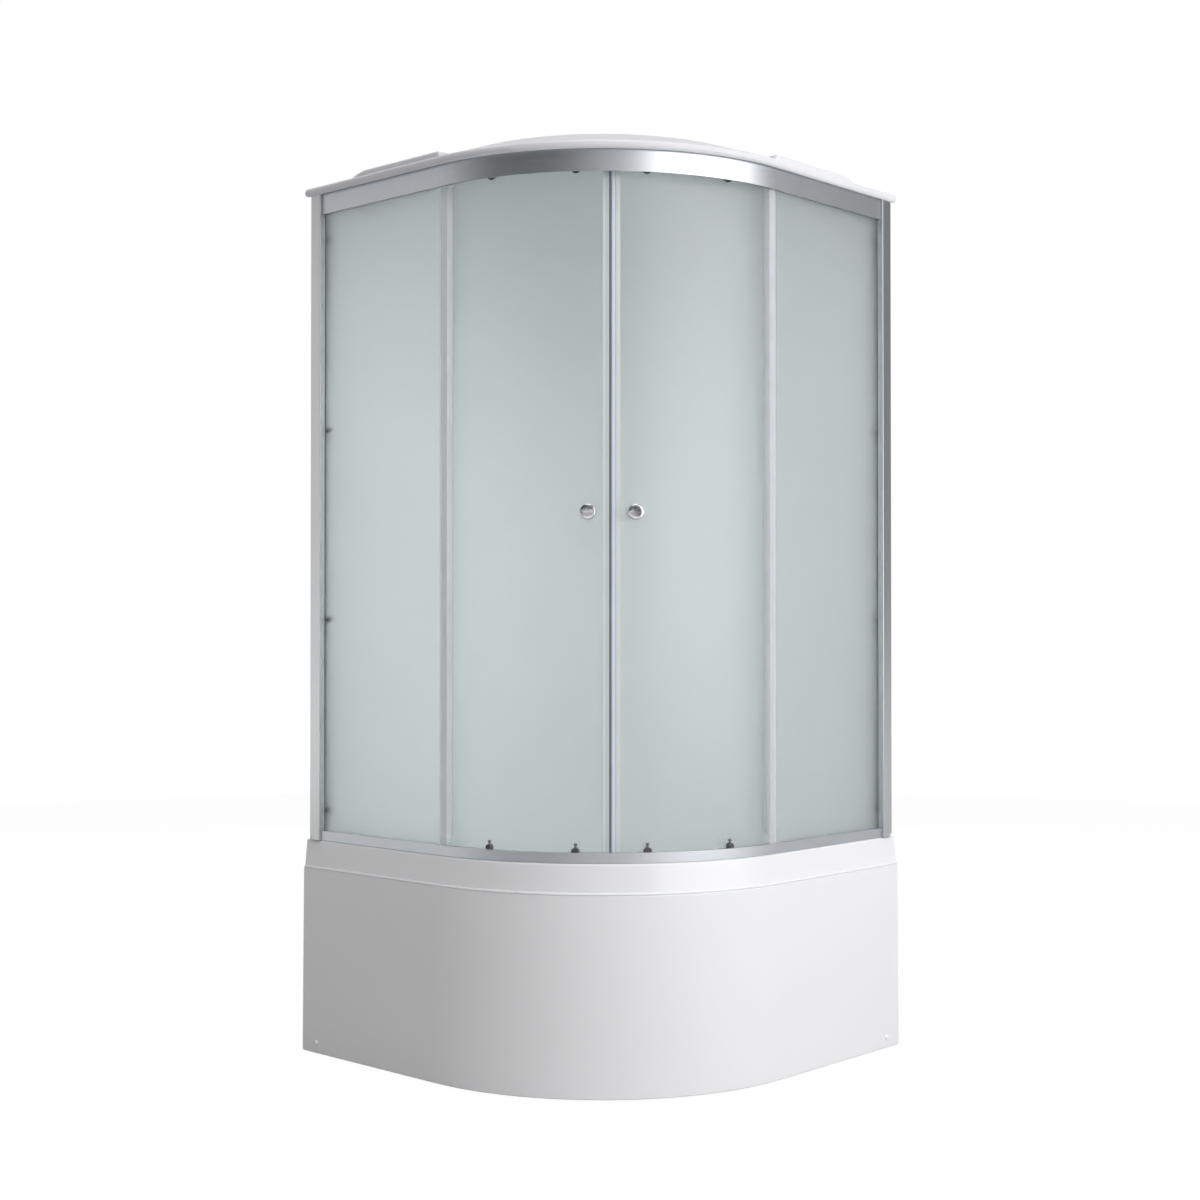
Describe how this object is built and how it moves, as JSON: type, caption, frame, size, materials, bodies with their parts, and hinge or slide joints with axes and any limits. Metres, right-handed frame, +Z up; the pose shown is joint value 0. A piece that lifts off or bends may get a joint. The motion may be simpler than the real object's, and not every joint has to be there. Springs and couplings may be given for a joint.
{
  "type": "shower cabin",
  "caption": "Quadrant shower cabin: deep white tray with apron, aluminium rails and posts, frosted panes, curved sliding doors on rollers and a moulded roof.",
  "frame": {"origin": "on the floor, under the middle of the square footprint", "axes": "+Z up; the room's walls stand at -X and +Y; the curved front faces +X -Y"},
  "size_m": [1.0045, 1.0045, 2.078],
  "materials": {
    "white_acrylic": "gloss",
    "satin_aluminium": "satin",
    "frosted_glass": "frosted inside",
    "clear_seal": "translucent",
    "grey_gasket": "matte",
    "bright_chrome": "polished",
    "steel_frame": "satin",
    "zinc_steel": "zinc plated",
    "white_plastic": "matte",
    "dark_plastic": "satin",
    "nylon": "matte",
    "pin_steel": "satin"
  },
  "bodies": {
    "enclosure": {"tray_basin": "white_acrylic", "tray_apron": "white_acrylic", "roof": "white_acrylic", "left_wall_panel": "white_acrylic", "rear_wall_panel": "white_acrylic", "apron_screw_caps": "white_acrylic", "top_rail": "satin_aluminium", "bottom_rail": "satin_aluminium", "left_post": "satin_aluminium", "right_post": "satin_aluminium", "corner_profile": "satin_aluminium", "left_fixed_glass": "frosted_glass", "right_fixed_glass": "frosted_glass", "left_fixed_seal": "clear_seal", "right_fixed_seal": "clear_seal", "left_glazing_gaskets": "grey_gasket", "right_glazing_gaskets": "grey_gasket", "drain_gasket": "grey_gasket", "door_stops": "grey_gasket", "drain_cover": "bright_chrome", "tray_frame": "steel_frame", "apron_brackets": "steel_frame", "apron_screws": "zinc_steel", "rail_screws": "zinc_steel", "wall_screws": "zinc_steel", "roof_screws": "zinc_steel", "foot_lock_nuts": "zinc_steel", "drain_flange": "white_plastic", "drain_trap": "white_plastic", "rail_end_blocks": "white_plastic"},
    "left_door": {"left_door_glass": "frosted_glass", "left_magnet_seal": "clear_seal", "left_tail_seal": "clear_seal", "left_knob": "bright_chrome", "left_top_carriages": "dark_plastic", "left_bottom_carriages": "dark_plastic"},
    "left_front_release_pin": {"left_front_release_pin": "pin_steel"},
    "left_front_top_wheel": {"left_front_top_wheel": "nylon"},
    "left_front_bottom_wheel": {"left_front_bottom_wheel": "nylon"},
    "left_rear_release_pin": {"left_rear_release_pin": "pin_steel"},
    "left_rear_top_wheel": {"left_rear_top_wheel": "nylon"},
    "left_rear_bottom_wheel": {"left_rear_bottom_wheel": "nylon"},
    "right_door": {"right_door_glass": "frosted_glass", "right_magnet_seal": "clear_seal", "right_tail_seal": "clear_seal", "right_knob": "bright_chrome", "right_top_carriages": "dark_plastic", "right_bottom_carriages": "dark_plastic"},
    "right_front_release_pin": {"right_front_release_pin": "pin_steel"},
    "right_front_top_wheel": {"right_front_top_wheel": "nylon"},
    "right_front_bottom_wheel": {"right_front_bottom_wheel": "nylon"},
    "right_rear_release_pin": {"right_rear_release_pin": "pin_steel"},
    "right_rear_top_wheel": {"right_rear_top_wheel": "nylon"},
    "right_rear_bottom_wheel": {"right_rear_bottom_wheel": "nylon"},
    "foot_back": {"foot_back": "zinc_steel"},
    "foot_left": {"foot_left": "zinc_steel"},
    "foot_right": {"foot_right": "zinc_steel"},
    "foot_front": {"foot_front": "zinc_steel"},
    "foot_middle": {"foot_middle": "zinc_steel"}
  },
  "joints": [
    {"name": "left_door_run", "type": "hinge", "parent": "enclosure", "child": "left_door", "pos_m": [-0.035, 0.035, 1.25], "axis": [0, 0, -1], "range_deg": [0, 25]},
    {"name": "left_front_pin_press", "type": "slide", "parent": "left_door", "child": "left_front_release_pin", "axis": [0, 0, -1], "range_m": [0, 0.003], "stiffness_N_per_m": 800, "springref_m": -0.004},
    {"name": "left_front_top_spin", "type": "hinge", "parent": "left_door", "child": "left_front_top_wheel", "pos_m": [0.25856, -0.36728, 1.9903], "axis": [-0.5895, 0.8078, 0], "continuous": true},
    {"name": "left_front_bottom_spin", "type": "hinge", "parent": "left_front_release_pin", "child": "left_front_bottom_wheel", "pos_m": [0.25812, -0.36667, 0.5117], "axis": [-0.5895, 0.8078, 0], "continuous": true},
    {"name": "left_rear_pin_press", "type": "slide", "parent": "left_door", "child": "left_rear_release_pin", "axis": [0, 0, -1], "range_m": [0, 0.003], "stiffness_N_per_m": 800, "springref_m": -0.004},
    {"name": "left_rear_top_spin", "type": "hinge", "parent": "left_door", "child": "left_rear_top_wheel", "pos_m": [0.08126, -0.44924, 1.9903], "axis": [-0.2334, 0.9724, 0], "continuous": true},
    {"name": "left_rear_bottom_spin", "type": "hinge", "parent": "left_rear_release_pin", "child": "left_rear_bottom_wheel", "pos_m": [0.08108, -0.44851, 0.5117], "axis": [-0.2334, 0.9724, 0], "continuous": true},
    {"name": "right_door_run", "type": "hinge", "parent": "enclosure", "child": "right_door", "pos_m": [-0.035, 0.035, 1.25], "axis": [0, 0, 1], "range_deg": [0, 25]},
    {"name": "right_front_pin_press", "type": "slide", "parent": "right_door", "child": "right_front_release_pin", "axis": [0, 0, -1], "range_m": [0, 0.003], "stiffness_N_per_m": 800, "springref_m": -0.004},
    {"name": "right_front_top_spin", "type": "hinge", "parent": "right_door", "child": "right_front_top_wheel", "pos_m": [0.36728, -0.25856, 1.9903], "axis": [0.8078, -0.5895, 0], "continuous": true},
    {"name": "right_front_bottom_spin", "type": "hinge", "parent": "right_front_release_pin", "child": "right_front_bottom_wheel", "pos_m": [0.36667, -0.25812, 0.5117], "axis": [0.8078, -0.5895, 0], "continuous": true},
    {"name": "right_rear_pin_press", "type": "slide", "parent": "right_door", "child": "right_rear_release_pin", "axis": [0, 0, -1], "range_m": [0, 0.003], "stiffness_N_per_m": 800, "springref_m": -0.004},
    {"name": "right_rear_top_spin", "type": "hinge", "parent": "right_door", "child": "right_rear_top_wheel", "pos_m": [0.44924, -0.08126, 1.9903], "axis": [0.9724, -0.2334, 0], "continuous": true},
    {"name": "right_rear_bottom_spin", "type": "hinge", "parent": "right_rear_release_pin", "child": "right_rear_bottom_wheel", "pos_m": [0.44851, -0.08108, 0.5117], "axis": [0.9724, -0.2334, 0], "continuous": true},
    {"name": "foot_back_turn", "type": "hinge", "parent": "enclosure", "child": "foot_back", "pos_m": [-0.465, 0.465, 0.05], "axis": [0, 0, 1], "continuous": true},
    {"name": "foot_left_turn", "type": "hinge", "parent": "enclosure", "child": "foot_left", "pos_m": [-0.465, -0.445, 0.05], "axis": [0, 0, 1], "continuous": true},
    {"name": "foot_right_turn", "type": "hinge", "parent": "enclosure", "child": "foot_right", "pos_m": [0.445, 0.465, 0.05], "axis": [0, 0, 1], "continuous": true},
    {"name": "foot_front_turn", "type": "hinge", "parent": "enclosure", "child": "foot_front", "pos_m": [0.30441, -0.30441, 0.05], "axis": [0, 0, 1], "continuous": true},
    {"name": "foot_middle_turn", "type": "hinge", "parent": "enclosure", "child": "foot_middle", "pos_m": [-0.01, 0.01, 0.05], "axis": [0, 0, 1], "continuous": true}
  ],
  "couplings": [
    {"joint": "left_front_top_spin", "follows": "left_door_run", "ratio": -45.273},
    {"joint": "left_front_bottom_spin", "follows": "left_door_run", "ratio": 82.875},
    {"joint": "left_rear_top_spin", "follows": "left_door_run", "ratio": -45.273},
    {"joint": "left_rear_bottom_spin", "follows": "left_door_run", "ratio": 82.875},
    {"joint": "right_front_top_spin", "follows": "right_door_run", "ratio": -45.273},
    {"joint": "right_front_bottom_spin", "follows": "right_door_run", "ratio": 82.875},
    {"joint": "right_rear_top_spin", "follows": "right_door_run", "ratio": -45.273},
    {"joint": "right_rear_bottom_spin", "follows": "right_door_run", "ratio": 82.875}
  ]
}
